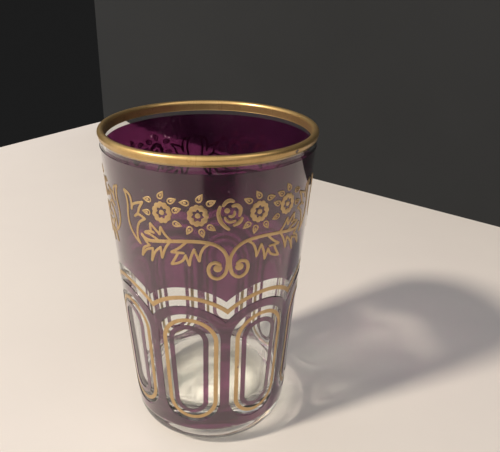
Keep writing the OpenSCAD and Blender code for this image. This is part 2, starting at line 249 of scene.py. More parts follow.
# %% [markdown]
# A see-through layer needs one more thing. The renderer finds lamps by straight shadow rays, and refraction would
# stop them all, so the inside of the glass and its shadow would go black. For shadow rays alone the layer is
# therefore plainly transparent in its own tint, as a stained window is.
# %% A material that starts from object coordinates
def new_material(name):
    """An empty material with object coordinates and a Principled shader that feeds its output."""
    material = bpy.data.materials.new(name)
    material.use_nodes = True
    tree = material.node_tree
    tree.nodes.clear()
    shader = add_node(tree, "ShaderNodeBsdfPrincipled")
    output = add_node(tree, "ShaderNodeOutputMaterial")
    join(tree, shader, "BSDF", output, "Surface")
    return material, tree, add_node(tree, "ShaderNodeTexCoord"), shader


def let_lamps_through(tree, shader, tint):
    """Puts a transparent shader, tinted by a colour mix, in the place of the surface for shadow rays."""
    output = shader.outputs["BSDF"].links[0].to_node
    path = add_node(tree, "ShaderNodeLightPath")
    clear = add_node(tree, "ShaderNodeBsdfTransparent")
    choice = add_node(tree, "ShaderNodeMixShader")
    join(tree, tint, 2, clear, "Color")
    join(tree, path, "Is Shadow Ray", choice, 0)
    join(tree, shader, "BSDF", choice, 1)
    join(tree, clear, "BSDF", choice, 2)
    join(tree, choice, "Shader", output, "Surface")


def mix_colours(tree, first, second, mask):
    """A colour mix steered by a mask's (node, output). Either colour may be a tuple or the mix before it."""
    mix = add_node(tree, "ShaderNodeMix", {"data_type": "RGBA"})
    for number, colour in ((6, first), (7, second)):
        if isinstance(colour, tuple):
            mix.inputs[number].default_value = (*colour, 1)
        else:
            join(tree, colour, 2, mix, number)
    join(tree, *mask, mix, 0)
    return mix


# %% [markdown]
# The clear glass is pressed in a mould. Its surface is not quite flat: slow upright waves bend what is seen
# through it into streaks. Modelled waves would need a far finer mesh, so a stretched noise as a bump gives them,
# and faint smears dull the shine. The round heel is the thickest glass; its colour is greyed as painted shade,
# and it bends the lamp's light aside and keeps back more of it.
# %% Clear glass
CLEAR = (0.97, 0.98, 0.97)
SMEARED = (0.93, 0.95, 0.94)
# Painted shade: the grey that the heel's colour is mixed towards, darkening what is seen through the heel.
HEEL_PAINTED_SHADE = (0.55, 0.55, 0.55)
WALL_SHADE = (0.92, 0.92, 0.92)
HEEL_SHADE = (0.20, 0.20, 0.20)
HEEL_RISE = (8 * MM, 4 * MM)
HEEL_REACH = (12 * MM, 16 * MM)


def heel_mask(tree, coordinates):
    """1 in the heel: a fade down the height, times a fade outwards over the distance from the axis."""
    place = add_node(tree, "ShaderNodeSeparateXYZ")
    flat = add_node(tree, "ShaderNodeVectorMath", {"operation": "MULTIPLY"})
    flat.inputs[1].default_value = (1, 1, 0)
    from_axis = add_node(tree, "ShaderNodeVectorMath", {"operation": "LENGTH"})
    join(tree, coordinates, "Object", place, 0)
    join(tree, coordinates, "Object", flat, 0)
    join(tree, flat, 0, from_axis, 0)
    low, wide = remap(tree, (place, "Z"), HEEL_RISE), remap(tree, (from_axis, "Value"), HEEL_REACH)
    return maths(tree, "MULTIPLY", low, wide)


def clear_glass():
    """Clear glass, greyed in the heel as painted shade, with slow upright waves and smears that raise its
    roughness.
    """
    material, tree, coordinates, shader = new_material("pressed clear glass")
    smears = place_group(tree, CLOUDING, coordinates, Scale=70)
    upright = add_node(tree, "ShaderNodeMapping", Scale=(1.0, 1.0, 0.10))
    waves = add_node(tree, "ShaderNodeTexNoise", Scale=260, Detail=1)
    bump = add_node(tree, "ShaderNodeBump", Strength=0.10, Distance=0.2 * MM)
    join(tree, coordinates, "Object", upright, "Vector")
    join(tree, upright, 0, waves, "Vector")
    join(tree, waves, "Fac", bump, "Height")
    join(tree, bump, "Normal", shader, "Normal")
    join(tree, *remap(tree, (smears, "Cloud"), into=(0.0, 0.03)), shader, "Roughness")
    set_inputs(shader, Transmission_Weight=1, IOR=1.5)
    heel = heel_mask(tree, coordinates)
    clear = mix_colours(tree, CLEAR, SMEARED, (smears, "Cloud"))
    # Painted shade: the heel's colour is mixed towards grey.
    join(tree, mix_colours(tree, clear, HEEL_PAINTED_SHADE, heel), 2, shader, "Base Color")
    let_lamps_through(tree, shader, mix_colours(tree, WALL_SHADE, HEEL_SHADE, heel))
    return material


# %% [markdown]
# The plum coat is a thin stain with a lustre: light comes through it dark red violet, and it mirrors much more
# than bare glass does, so the pale table lies over it as a grey veil, strongest at the sides. Tinted glass alone
# would mirror too little, so a clear coat lies over a dense stain. Where the coat is scratched or pitted, the bare
# glass shows as a pale mark.
# %% Plum coat
PLUM = (0.200, 0.036, 0.135)
PLUM_THICK = (0.145, 0.022, 0.090)
COAT_SHADE = (0.33, 0.375, 0.37)
COAT_SHADE_THICK = (0.29, 0.335, 0.33)
BARED = (0.62, 0.52, 0.56)


def plum_coat():
    """A stained lustre coat that is clouded, with pale specks and hair scratches where it has worn off."""
    material, tree, coordinates, shader = new_material("plum lustre coat")
    clouds = place_group(tree, CLOUDING, coordinates, Scale=150)
    pits = place_group(tree, SPECKS, coordinates, Scale=420, Size=0.24, Share=0.09)
    hairs = place_group(tree, SCRATCHES, coordinates, Scale=240, Width=0.0035, Gate=0.64)
    cloud = clouds, "Cloud"
    stain = mix_colours(tree, PLUM, PLUM_THICK, cloud)
    pitted = mix_colours(tree, stain, BARED, (pits, "Mask"))
    worn = mix_colours(tree, pitted, BARED, (hairs, "Mask"))
    join(tree, worn, 2, shader, "Base Color")
    join(tree, *remap(tree, (clouds, "Grain"), into=(0.03, 0.09)), shader, "Roughness")
    set_inputs(shader, Transmission_Weight=0.97, IOR=1.6, Coat_Weight=1, Coat_IOR=1.5, Coat_Roughness=0.04)
    let_lamps_through(tree, shader, mix_colours(tree, COAT_SHADE, COAT_SHADE_THICK, cloud))
    return material


# %% [markdown]
# The gold is a fired metal film. On the wall it is satin and a little brown, with worn nicks where the coat shows
# through. On the lip it was rubbed smooth by use, so it is yellower and more even, and the pale places of the room
# lie on it as broad highlights. One function makes both, since they differ only in tone, shine and wear.
# %% Gold, satin for the prints and burnished for the lip
NICK_METAL = 0.2


def fired_gold(name, bright, dull, worn, shine, nick_share, metal, unevenness):
    """A film between two tones with worn nicks and hair scratches. Shine is its range of roughness, metal how
    metallic it is away from the nicks, and unevenness the strength of its fine ripple."""
    material, tree, coordinates, shader = new_material(name)
    clouds = place_group(tree, CLOUDING, coordinates, Scale=260)
    nicks = place_group(tree, SPECKS, coordinates, Scale=520, Size=0.55, Share=nick_share)
    hairs = place_group(tree, SCRATCHES, coordinates, Scale=300, Width=0.012, Gate=0.5)
    clouded = mix_colours(tree, bright, dull, (clouds, "Cloud"))
    rubbed = mix_colours(tree, clouded, dull, (hairs, "Mask"))
    nicked = mix_colours(tree, rubbed, worn, (nicks, "Mask"))
    join(tree, nicked, 2, shader, "Base Color")
    join(tree, *remap(tree, (clouds, "Grain"), into=shine), shader, "Roughness")
    join(tree, *remap(tree, (nicks, "Mask"), into=(metal, NICK_METAL)), shader, "Metallic")
    ripple = add_node(tree, "ShaderNodeBump", Strength=unevenness, Distance=0.02 * MM)
    join(tree, clouds, "Grain", ripple, "Height")
    join(tree, ripple, "Normal", shader, "Normal")
    return material


GLASS = clear_glass()
COAT = plum_coat()
PRINT_GOLD = fired_gold(
    "satin gold print", bright=(0.60, 0.425, 0.225), dull=(0.51, 0.345, 0.175), worn=(0.20, 0.10, 0.09),
    shine=(0.26, 0.38), nick_share=0.03, metal=1.0, unevenness=0.12,
)
LIP_GOLD = fired_gold(
    "burnished gold lip", bright=(0.55, 0.37, 0.155), dull=(0.47, 0.30, 0.115), worn=(0.10, 0.06, 0.04),
    shine=(0.27, 0.33), nick_share=0.012, metal=0.78, unevenness=0.02,
)
print("finishes:", [material.name for material in (GLASS, COAT, PRINT_GOLD, LIP_GOLD)])

# %% [markdown]
# The tumbler itself is a profile turned about its axis. A lathe profile of straight lines and arcs is all that it
# needs: a shallow hollow under the base, the ring it stands on, a round heel, the wall, a bead at the lip that
# stands a little proud of it, the inner wall and the round corner of the well.
# %% The profile of the glass
LIP_T = 1.6 * MM
LIP_PROUD = 0.2 * MM
WALL_T = 2.6 * MM
BASE_T = 11.0 * MM
HEEL_R = 7.5 * MM
WELL_R = 6.5 * MM
PUNT_DEPTH = 0.8 * MM
STAND_W = 3.0 * MM
BEAD_STEPS = 40
CORNER_STEPS = 32
WALL_STEPS = 48


def corner_x(wall, r, lean):
    """Distance from the axis of a circle of radius r in the corner of a leaning wall and a level floor."""
    return wall + r * np.tan(lean) - r / np.cos(lean)


def arc(centre, r, start, end, steps=24):
    """Points centre + r (cos a, sin a) from one angle to another."""
    a = np.linspace(start, end, steps)
    return np.stack([centre[0] + r * np.cos(a), centre[1] + r * np.sin(a)], axis=-1)


def straight(start, end, steps):
    """Points strictly between two points, evenly spaced."""
    t = np.linspace(0, 1, steps + 2)[1:-1, None]
    return np.array(start) * (1 - t) + np.array(end) * t


LIP_R = LIP_T / 2
LIP_HALF = LIP_R - LIP_PROUD
LIP_Z = GLASS_H - LIP_R
LIP_X = wall_radius(LIP_Z) - LIP_HALF / np.cos(LEAN)
WELL_WALL = wall_radius(BASE_T) - WALL_T
lip_way = np.array([LIP_X - WELL_WALL, LIP_Z - BASE_T])
INNER_LEAN = np.arctan(lip_way[0] / lip_way[1]) - np.arcsin(LIP_HALF / np.linalg.norm(lip_way))
HEEL_X = corner_x(FOOT_R, HEEL_R, LEAN)
WELL_X = corner_x(WELL_WALL, WELL_R, INNER_LEAN)


def bead(out):
    """The lip's bead at a distance out of the glass: an arc from one wall's line to the other's."""
    turn = np.arccos((LIP_HALF + out) / (LIP_R + out))
    return arc((LIP_X, LIP_Z), LIP_R + out, -LEAN - turn, np.pi - INNER_LEAN + turn, BEAD_STEPS)


def inner_radius(z):
    """Radius of the inner wall at height z."""
    return WELL_WALL + (z - BASE_T) * np.tan(INNER_LEAN)


def glass_profile():
    """(radius, height) rows from the middle of the hollow underneath, round the outside, to the floor inside."""
    punt_half = HEEL_X - STAND_W
    punt_r = (punt_half**2 + PUNT_DEPTH**2) / (2 * PUNT_DEPTH)
    punt_edge = np.arcsin(punt_half / punt_r)
    punt = arc((0, PUNT_DEPTH - punt_r), punt_r, np.pi / 2, np.pi / 2 - punt_edge)
    heel = arc((HEEL_X, HEEL_R), HEEL_R, -np.pi / 2, -LEAN, CORNER_STEPS)
    lip = bead(0)
    well = arc((WELL_X, BASE_T + WELL_R), WELL_R, -INNER_LEAN, -np.pi / 2, CORNER_STEPS)
    return np.concatenate([
        punt, straight(punt[-1], heel[0], 6), heel, straight(heel[-1], lip[0], WALL_STEPS), lip,
        straight(lip[-1], well[0], WALL_STEPS), well, straight(well[-1], (0, BASE_T), 12), [[0, BASE_T]],
    ])


def revolve(profile, loop):
    """A profile turned about Z into a grid: point (u, v) = (r(v) sin u, -r(v) cos u, z(v))."""
    turn = np.linspace(0, 2 * np.pi, ROUND_STEPS, endpoint=False)[:, None]
    r, z = profile[:, 0], profile[:, 1]
    points = np.stack([r * np.sin(turn), -r * np.cos(turn), z + 0 * turn], axis=-1)
    return points, grid_quads(ROUND_STEPS, len(profile), True, loop)


# %% The glass
tumbler = mesh_piece("clear_tumbler", [revolve(glass_profile(), False)])
finish_piece(tumbler, GLASS, "clear_glass", "glass_body")


# %% [markdown]
# The gold lip band is the same kind of turned shape. Its profile is the lip's own line, set off outwards twice,
# once for the underside of the film and once for its top. A smooth curve through the points of the wall and the
# bead rounds the corner between them, as thick fired gold does.
# %% The gold lip band
LIP_BAND_LOW = GLASS_H - 2.0 * MM
LIP_BAND_IN_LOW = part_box("gold_lip_band")[0].z
LIP_GOLD_T = 0.09 * MM
BAND_EDGE = 0.25 * MM
BEAD_TRIM = 4


def smooth_line(points, steps=6):
    """A Catmull-Rom curve: on each span b to c, with a and d the points before and after, it is
    b + (c - a) t / 2 + (a - 5 b / 2 + 2 c - d / 2) t^2 + (3 b - a - 3 c + d) t^3 / 2."""
    p = np.array(points, float)
    span = np.arange(len(p) - 1)
    a, b, c, d = p[np.maximum(span - 1, 0)], p[span], p[span + 1], p[np.minimum(span + 2, len(p) - 1)]
    a, b, c, d = (q[:, None, :] for q in (a, b, c, d))
    t = np.linspace(0, 1, steps, endpoint=False)[None, :, None]
    curve = b + (c - a) * t / 2 + (a - 2.5 * b + 2 * c - d / 2) * t**2 + (3 * b - a - 3 * c + d) / 2 * t**3
    return np.concatenate([curve.reshape(-1, 2), p[-1:]])


def lip_line(out):
    """The lip's line at a distance out of the glass, from the outer wall over the bead to the inner wall."""
    outer_z = LIP_BAND_LOW + np.array([0, BAND_EDGE])
    inner_z = LIP_BAND_IN_LOW + np.array([BAND_EDGE, 0])
    outer = np.stack([wall_radius(outer_z) + out, outer_z], axis=-1)
    inner = np.stack([inner_radius(inner_z) - out, inner_z], axis=-1)
    return smooth_line(np.concatenate([outer, bead(out)[BEAD_TRIM:-BEAD_TRIM], inner]), 3)


band = np.concatenate([lip_line(ON_GLASS + LIP_GOLD_T), lip_line(ON_GLASS)[::-1]])
lip = mesh_piece("gold_lip", [revolve(band, True)])
finish_piece(lip, LIP_GOLD, "bright_gold", "gold_lip_band")

# %% [markdown]
# All other layers are thin films between two edge lines on the wall. One function makes them: it goes a share of
# the way from one edge to the other, and lifts the film by a share of its thickness, so a short list of such
# shares is the film's cross-section. A print stands a little higher in its middle than at its edges.
# %% A film between two edge lines
FLAT = [(0, 0), (0, 1), (1, 1), (1, 0)]
RIDGE = [(0, 0), (0, 0.55), (0.12, 0.88), (0.5, 1), (0.88, 0.88), (1, 0.55), (1, 0)]
DISC = [(0, 1), (0.5, 0.97), (0.85, 0.82), (1, 0.5), (1, 0), (0, 0)]


def film(inner, outer, under, thickness, section, loop=True):
    """A film from one (azimuth, height) line to another: point (u, v) lies the share s(v) of the way across,
    at the distance out under + h(v) thickness. A film that doesn't loop comes down to a point at its ends."""
    share, lift = np.array(section).T
    across = inner[:, None, :] + (outer - inner)[:, None, :] * share[None, :, None]
    rise = np.ones(len(inner))
    if not loop:
        rise[[0, -1]] = 0
    points = on_wall(across[..., 0], across[..., 1], under + thickness * lift * rise[:, None])
    return points, grid_quads(len(inner), len(share), loop, section is not DISC)


# %% [markdown]
# The arcade is eight windows with arched hoods. A row of arches is an arc drawn flat in front of each window and
# carried straight back on to the wall, so its height follows from the angle to the window's middle.
# %% Arches and the upper wall's coat
WINDOWS = 8
PITCH = 2 * np.pi / WINDOWS
COAT_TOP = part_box("plum_wall_coat")[1].z
SCALLOP_DROP = 4.2 * MM
SCALLOP_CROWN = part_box("plum_wall_coat")[0].z + SCALLOP_DROP
ARCH_STEPS = 48
AROUND = np.linspace(0, 2 * np.pi, WINDOWS * ARCH_STEPS, endpoint=False)


def arches(azimuth, crown, drop, inset=0.0):
    """Height of a row of arches: z = centre + sqrt(r^2 - x^2), with x = radius(z) sin(angle to the window's
    middle). The radius depends on z, and a few passes settle it."""
    half = wall_radius(crown - drop) * np.sin(PITCH / 2)
    r = (half**2 + drop**2) / (2 * drop)
    from_middle = azimuth % PITCH - PITCH / 2
    z = np.full_like(azimuth, crown)
    for _ in range(8):
        x = wall_radius(z) * np.sin(from_middle)
        z = crown - r + np.sqrt((r - inset) ** 2 - x**2)
    return z


def level(z):
    """A level line round the wall."""
    return np.stack([AROUND, np.full_like(AROUND, z)], axis=-1)


def arched(crown, drop, inset=0.0):
    """A row of arches round the wall."""
    return np.stack([AROUND, arches(AROUND, crown, drop, inset)], axis=-1)


upper = mesh_piece(
    "plum_upper_wall", [film(arched(SCALLOP_CROWN, SCALLOP_DROP), level(COAT_TOP), ON_GLASS, COAT_T, FLAT)]
)
finish_piece(upper, COAT, "plum_coat", "plum_wall_coat")

# %% [markdown]
# All the gold on the wall was printed in one go, and that print sits turned by almost a degree against the coats.
# Such a small misfit is what makes a printed glass look printed, so it is kept.
# %% The gold line that follows the arches
GOLD_TURN = np.radians(0.9)
LINE_W = 1.15 * MM
LINE_DROP = 4.0 * MM
LINE_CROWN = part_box("gold_arcade_line")[1].z
line_low, line_high = (arched(LINE_CROWN, LINE_DROP, inset) + (GOLD_TURN, 0) for inset in (LINE_W, 0))
line = mesh_piece("gold_arched_line", [film(line_low, line_high, ON_GLASS, GOLD_T, RIDGE)])
finish_piece(line, PRINT_GOLD, "bright_gold", "gold_arcade_line")

# %% [markdown]
# A window is an upright shape with a round top and a slightly smaller round foot. The rings in it are the same
# outline, drawn in, and drawn in a little more at their round ends. Straight sides join the two arcs where they
# touch both.
# %% The windows' outline and their rings
BAR_W = 2.6 * MM
GOLD_RING_GAP = 0.9 * MM
RING_END_GAP = 0.35 * MM
GOLD_RING_W = 1.1 * MM
PLUM_RING_GAP = 1.0 * MM
PLUM_RING_W = 1.35 * MM
END_STEPS = 64
SIDE_STEPS = 10
ring_low, ring_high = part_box("gold_window_ring_1")
WINDOW_LOW = ring_low.z - GOLD_RING_GAP - RING_END_GAP
WINDOW_HIGH = ring_high.z + GOLD_RING_GAP + RING_END_GAP


def window_half(z):
    """Half the width of a window at height z, which leaves half a bar on each side of it."""
    r = wall_radius(z)
    return r * np.sin(PITCH / 2 - BAR_W / 2 / r)


TOP_R = window_half(WINDOW_HIGH - window_half(WINDOW_HIGH))
LOW_R = window_half(WINDOW_LOW + window_half(WINDOW_LOW))
TOP_Z = WINDOW_HIGH - TOP_R
LOW_Z = WINDOW_LOW + LOW_R


def on_window(flat, number):
    """Flat points (x, z) carried straight back on to the wall: azimuth = the window's + arcsin(x / radius)."""
    azimuth = (number - 0.5) * PITCH + np.arcsin(flat[:, 0] / wall_radius(flat[:, 1]))
    return np.stack([azimuth, flat[:, 1]], axis=-1)


def side_spread(end_gap):
    """The angle by which a window's sides spread upwards: arcsin(the radii's difference / their distance)."""
    return np.arcsin((TOP_R - LOW_R) / (TOP_Z - LOW_Z - 2 * end_gap))


def window_outline(inset, end_gap):
    """The window's outline, drawn in by inset all round and by end_gap more at its ends: an arc over the top,
    one round the foot, and their common sides."""
    spread = side_spread(end_gap)
    top = arc((0, TOP_Z - end_gap), TOP_R - inset, -spread, np.pi + spread, END_STEPS)
    foot = arc((0, LOW_Z + end_gap), LOW_R - inset, np.pi + spread, 2 * np.pi - spread, END_STEPS)
    sides = straight(top[-1], foot[0], SIDE_STEPS), straight(foot[-1], top[0], SIDE_STEPS)
    return np.concatenate([top, sides[0], foot, sides[1]])


def window_ring(number, inset, width, turn, thickness, section):
    """A ring in a window: the film between two of its outlines, turned a little about the axis."""
    inner, outer = (
        on_window(window_outline(drawn_in, RING_END_GAP), number) + (turn, 0) for drawn_in in (inset + width, inset)
    )
    return film(inner, outer, ON_GLASS, thickness, section)


PLUM_RING_INSET = GOLD_RING_GAP + GOLD_RING_W + PLUM_RING_GAP
RINGS = {
    "gold": ((GOLD_RING_GAP, GOLD_RING_W, GOLD_TURN, GOLD_T, RIDGE), PRINT_GOLD, "bright_gold"),
    "plum": ((PLUM_RING_INSET, PLUM_RING_W, 0, COAT_T, FLAT), COAT, "plum_coat"),
}
for number in range(1, WINDOWS + 1):
    for kind, (measures, material, slot) in RINGS.items():
        ring = mesh_piece(f"{kind}_ring_{number}", [window_ring(number, *measures)])
        finish_piece(ring, material, slot, f"{kind}_window_ring_{number}")

# %% [markdown]
# The coat of the arcade surrounds the windows. Half a surround is a strip from the window's edge out to the edge
# of its cell: down to the sill's edge, sideways to the middle of the bar, and up to the hood's arch. Where the
# strip turns a corner of the cell, its points are shared out so that one of them falls on the corner.
# %% The arcade's coat
HOOD_DROP = 5.0 * MM
HOOD_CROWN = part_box("plum_arcade_coat")[1].z
COAT_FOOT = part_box("plum_arcade_coat")[0].z
SILL_STEPS, FOOT_STEPS, SHOULDER_STEPS, CROWN_STEPS = 25, 21, 17, 37
ACROSS = np.linspace(0, 1, 9)


def half_surround():
    """Matched (azimuth, height) lines up the right half of a window's edge and of its cell's edge."""
    half = PITCH / 2
    spread = side_spread(0)
    valley_z = arches(np.zeros(1), HOOD_CROWN, HOOD_DROP)[0]
    sill_corner = np.arctan2(COAT_FOOT - LOW_Z, wall_radius(COAT_FOOT) * np.sin(half))
    hood_corner = np.arctan2(valley_z - TOP_Z, wall_radius(valley_z) * np.sin(half))
    sill = arc((0, LOW_Z), LOW_R, -np.pi / 2, sill_corner, SILL_STEPS)[:-1]
    foot = arc((0, LOW_Z), LOW_R, sill_corner, -spread, FOOT_STEPS)
    shoulder = arc((0, TOP_Z), TOP_R, -spread, hood_corner, SHOULDER_STEPS)
    crown = arc((0, TOP_Z), TOP_R, hood_corner, np.pi / 2, CROWN_STEPS)[1:]
    side = straight(foot[-1], shoulder[0], SIDE_STEPS)
    edge = on_window(np.concatenate([sill, foot, side, shoulder, crown]), 0.5)
    sill_x = np.linspace(0, half, len(sill) + 1)[:-1]
    hood_x = np.linspace(half, 0, len(crown) + 1)[1:]
    cell_x = np.concatenate([sill_x, np.full(len(foot) + len(side) + len(shoulder), half), hood_x])
    cell_z = np.concatenate([
        np.full(len(sill), COAT_FOOT), np.linspace(COAT_FOOT, foot[-1, 1], len(foot)), side[:, 1],
        np.linspace(shoulder[0, 1], valley_z, len(shoulder)),
        arches(hood_x + half, HOOD_CROWN, HOOD_DROP),
    ])
    return edge, np.stack([cell_x, cell_z], axis=-1)


def surround(number):
    """The whole surround of a window as a loop: the right half upwards, then its mirror image downwards."""
    loops = []
    for line in half_surround():
        mirrored = line[-2:0:-1] * (-1, 1)
        loops.append(np.concatenate([line, mirrored]) + ((number - 0.5) * PITCH, 0))
    edge, cell = loops
    across = edge[:, None, :] + (cell - edge)[:, None, :] * ACROSS[None, :, None]
    points = on_wall(across[..., 0], across[..., 1], ON_GLASS)
    return points, grid_quads(len(edge), len(ACROSS), True, False)


arcade = mesh_piece("plum_arcade", [surround(number) for number in range(1, WINDOWS + 1)])
coat_skin = arcade.modifiers.new("coat thickness", "SOLIDIFY")
coat_skin.thickness = COAT_T
coat_skin.offset = 1
finish_piece(arcade, COAT, "plum_coat", "plum_arcade_coat")

# %% [markdown]
# The garlands are line drawings. Each is drawn flat, in millimetres, x from its middle and y up from its foot, and
# then wrapped on to the wall. Smooth curves through a few listed points give the vine, leaves and petals. One
# side is drawn, and the other is its mirror image.
# %% Drawn lines
GARLANDS = 3
GARLAND_SIDE_GAP = 1.15
GARLAND_LOW = SCALLOP_CROWN + 2.35 * MM
GARLAND_H = 23.4
LEAF_W = 0.65
LEAFLET_L = 2.5
POINTED = [(1.0, 0.0)]
ROUNDED = [(1.0, 0.0), (0.92, 0.4), (0.7, 0.72), (0.35, 0.94)]


def drawn_line(points, width, taper=0.0, ends=POINTED):
    """The two edges of a line of a width along a curve. It thins by the taper from its middle to its ends, and
    each end runs on by half a width to a tip, through (distance, half width) pairs in half widths."""
    p = smooth_line(points)
    way = np.gradient(p, axis=0)
    way /= np.linalg.norm(way, axis=1, keepdims=True)
    half = width / 2 * (1 - taper * np.linspace(-1, 1, len(p)) ** 2)
    reach, share = np.array(ends).T[:, :, None]
    first = p[0] - way[0] * half[0] * reach
    last = (p[-1] + way[-1] * half[-1] * reach)[::-1]
    middle = np.concatenate([first, p, last])
    ends_way = np.concatenate([np.repeat(way[:1], len(ends), 0), way, np.repeat(way[-1:], len(ends), 0)])
    widths = np.concatenate([half[0] * share, half[:, None], half[-1] * share[::-1]])
    side = np.stack([-ends_way[:, 1], ends_way[:, 0]], axis=-1) * widths
    return middle - side, middle + side


# %% The vine and its leaves, from tip to notch, each line through its own points
VINE = [
    (2.1, 4.5), (3.0, 5.15), (4.3, 4.8), (4.9, 3.3), (4.3, 1.4), (2.6, 0.6), (0.95, 1.8), (0.35, 4.0),
    (0.35, 6.0), (0.9, 7.6), (2.0, 9.1), (3.9, 10.3), (6.5, 10.85), (9.5, 10.9), (13.0, 10.55),
    (17.0, 9.9), (19.8, 9.45), (21.2, 9.8), (22.1, 10.6),
]
SCROLL_EYE = (2.65, 3.55)
VINE_LEAVES = [
    [(10.2, 10.6), (11.9, 8.9), (13.9, 7.5)], [(13.9, 7.5), (10.8, 7.6)],
    [(12.2, 7.5), (12.9, 6.0), (13.9, 4.1)], [(13.9, 4.1), (12.2, 4.7), (11.0, 5.6), (10.35, 7.0)],
    [(10.35, 7.0), (9.45, 4.3)], [(9.45, 4.3), (9.1, 6.5), (8.3, 8.8)], [(8.3, 8.8), (7.05, 5.6)],
    [(7.05, 5.6), (6.75, 7.6), (6.0, 9.3), (4.7, 10.4)],
    [(14.1, 10.35), (15.4, 8.3), (16.4, 5.4)], [(16.4, 5.4), (16.7, 8.3)],
    [(16.7, 8.3), (18.3, 6.6), (19.35, 3.9)], [(19.35, 3.9), (18.9, 7.5)],
    [(18.9, 7.5), (20.9, 6.6), (22.3, 4.6)], [(22.3, 4.6), (21.7, 6.9), (19.8, 8.1)],
    [(19.8, 8.1), (20.8, 8.9), (21.5, 9.8)],
    [(14.0, 10.7), (15.4, 12.0), (16.5, 13.8)], [(16.5, 13.8), (16.8, 11.8)],
    [(16.8, 11.8), (18.2, 13.2), (19.35, 14.2)], [(19.35, 14.2), (19.2, 12.4), (18.4, 11.9)],
    [(18.4, 11.9), (19.8, 12.0), (21.1, 11.4)], [(21.1, 11.4), (19.2, 11.1), (17.2, 10.1)],
]
END_LEAF = [
    [(22.7, 7.8), (24.4, 9.2), (26.0, 11.6), (26.5, 14.4), (26.35, 17.8), (26.8, 20.0), (27.4, 21.2)],
    [(27.4, 21.2), (25.6, 20.4), (24.95, 18.8), (25.0, 16.7)], [(25.0, 16.7), (24.3, 18.2), (21.3, 19.4)],
    [(21.3, 19.4), (22.4, 17.6), (23.0, 16.0), (24.1, 15.0)], [(24.1, 15.0), (22.7, 15.8), (20.8, 15.1)],
    [(20.8, 15.1), (22.6, 13.7), (23.4, 11.8), (23.5, 9.4), (22.7, 7.8)],
]

# %% The flowers: blossoms, leaflets as (foot, direction in degrees), and the rose's crescent petals
BLOSSOMS = [(7.4, 17.75), (16.05, 17.75)]
LEAFLETS = [
    ((16.8, 21.2), 121), ((14.6, 20.6), 154), ((9.3, 20.8), 3), ((7.6, 21.15), 122),
    ((5.45, 20.5), 153), ((18.65, 20.5), 0), ((19.05, 17.0), 5), ((13.5, 18.4), 158),
    ((13.45, 15.5), 196), ((8.9, 14.9), 297), ((6.7, 14.4), 255), ((5.2, 15.3), 215),
]
ROSE_PETALS = [
    [(-2.3, 20.0), (-2.65, 18.4), (-2.2, 16.4), (-1.2, 15.0), (-0.2, 14.1)],
    [(-1.55, 20.3), (-0.9, 21.15), (0, 21.5), (0.75, 21.25)],
    [(0.65, 20.05), (1.7, 20.15), (2.5, 19.1), (2.3, 17.5)],
    [(2.95, 16.7), (2.3, 15.7), (1.1, 15.05)],
]
ROSE_INNER_PETALS = [
    [(-1.1, 17.2), (-0.7, 16.4), (0.2, 15.95), (1.3, 16.2)],
    [(1.1, 18.6), (1.05, 17.9), (0.5, 17.35), (-0.1, 17.5)],
]
ROSE_HEART = (-0.65, 18.95)

# %% [markdown]
# The drawing is as wide as its end leaves and as tall as its topmost leaflets. On the glass it gets the height of
# a garland, and its width is fitted so that three of them go round with a small gap between.
# %% Wrapping the drawing on to the wall
motif_w = 2 * max(x for line in END_LEAF for x, y in line) + LEAF_W
motif_h = max(foot[1] + LEAFLET_L * np.sin(np.radians(turn)) for foot, turn in LEAFLETS)
garland_mid_r = wall_radius(GARLAND_LOW + GARLAND_H / 2 * MM)
MOTIF_ROUND = 2 * np.pi * garland_mid_r / GARLANDS / motif_w - GARLAND_SIDE_GAP * MM / motif_w
MOTIF_UP = GARLAND_H * MM / motif_h
print(f"garland: one drawn millimetre is {MOTIF_ROUND / MM:.3f} mm round and {MOTIF_UP / MM:.3f} mm up")


def on_garland(drawn, number):
    """Drawn points (x, y) to (azimuth, height): y runs up the wall, and x round it as an arc length."""
    z = GARLAND_LOW + drawn[:, 1] * MOTIF_UP
    middle = GOLD_TURN + (number - 1) * 2 * np.pi / GARLANDS
    return np.stack([middle + drawn[:, 0] * MOTIF_ROUND / wall_radius(z), z], axis=-1)


def print_between(inner, outer, number, section, loop):
    """A raised gold print between two drawn edges."""
    return film(on_garland(inner, number), on_garland(outer, number), ON_COAT, GOLD_T, section, loop)


def print_line(points, number, width, taper=0.0, ends=POINTED):
    """A raised gold line along a curve."""
    inner, outer = drawn_line(points, width, taper, ends)
    return print_between(inner, outer, number, RIDGE, False)


def print_spot(middle, outline, number):
    """A raised gold spot with a drawn outline round its middle."""
    return print_between(np.full_like(outline, middle), outline, number, DISC, True)


def mirrored_lines(lines):
    """The lines and their mirror images."""
    return lines + [[(-x, y) for x, y in line] for line in lines]


# %% [markdown]
# A blossom is a lobed disc with a star-shaped hole and a dot in it, and a leaflet is an outlined drop with a seed.
# Both are formulas of the angle: the lobes are the humps of a cosine on the radius, and the drop pinches a circle
# to a point.
# %% Blossoms and leaflets
BLOSSOM_W = 5.1
BLOSSOM_H = 5.7
BLOSSOM_LOBES = 11
LOBE_DEPTH = 0.1
STAR_R = 1.5
STAR_POINTS = 7
STAR_DIP = 0.3
EYE_R = 0.65
LEAFLET_W = 1.6
LEAFLET_LINE = 0.36
SEED_L = 0.9
SEED_W = 0.54
DROP_PEAK = 0.77
POINT_STEPS = 22
DROP_STEPS = 36
BLOSSOM_TURN = np.linspace(0, 2 * np.pi, POINT_STEPS * STAR_POINTS, endpoint=False)
DROP_TURN = np.linspace(0, 2 * np.pi, DROP_STEPS, endpoint=False)


def ellipse_points(middle, r, a, tall):
    """Points at the radius r(a) from a middle, stretched upwards by tall."""
    return np.stack([middle[0] + r * np.cos(a), middle[1] + r * np.sin(a) * tall], axis=-1)


